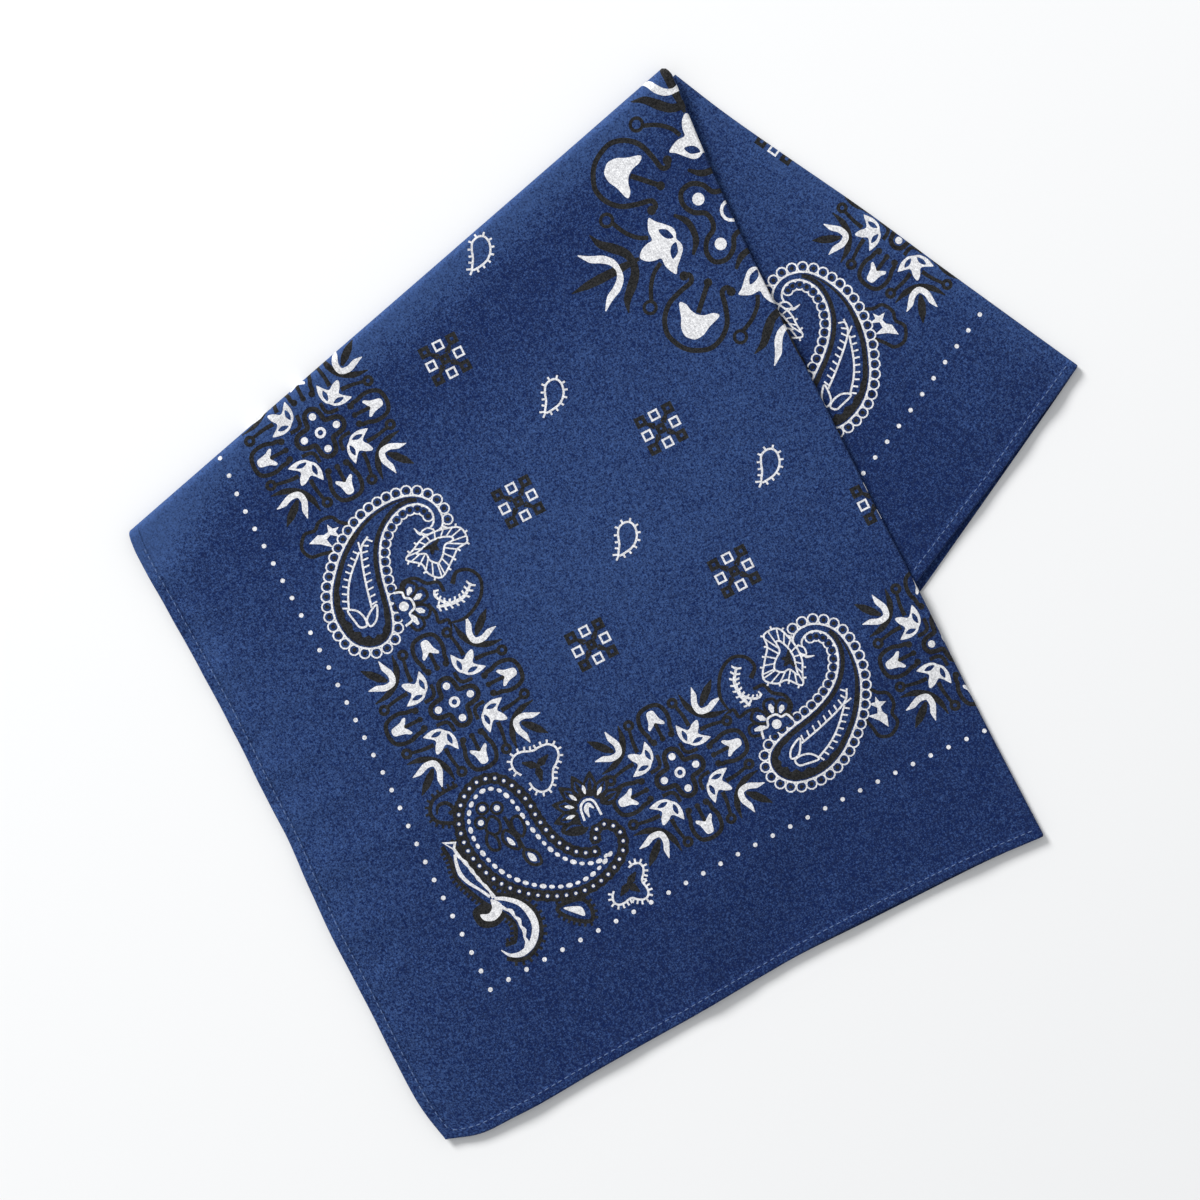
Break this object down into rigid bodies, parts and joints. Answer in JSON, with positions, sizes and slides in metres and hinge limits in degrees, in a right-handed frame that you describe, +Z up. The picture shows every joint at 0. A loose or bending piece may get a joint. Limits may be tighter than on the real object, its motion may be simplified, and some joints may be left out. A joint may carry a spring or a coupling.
{
  "type": "folded cotton bandana",
  "caption": "Square printed cotton bandana with turned, stitched hems, folded in quarters a little askew and laid flat.",
  "frame": {"origin": "on the surface the cloth rests on, below the middle of the box round the folded cloth", "axes": "+Z up; +X along the front panel's lower hem, towards the flap; +Y along its left hem, towards the apex where the folds meet"},
  "size_m": [0.3784, 0.3542, 0.0094],
  "materials": {
    "front_cotton": "plain-woven cotton, mid blue, printed in white and black",
    "flap_cotton": "plain-woven cotton, mid blue, printed in white and black",
    "inner_cotton": "plain-woven cotton, the print's paler back",
    "hem_cotton": "turned and stitched cotton edge, mid blue"
  },
  "bodies": {
    "root": {"front_panel": "front_cotton", "flap_panel": "flap_cotton", "inner_layers": "inner_cotton", "hem_front_lower": "hem_cotton", "hem_front_left": "hem_cotton", "hem_flap": "hem_cotton"}
  },
  "joints": []
}
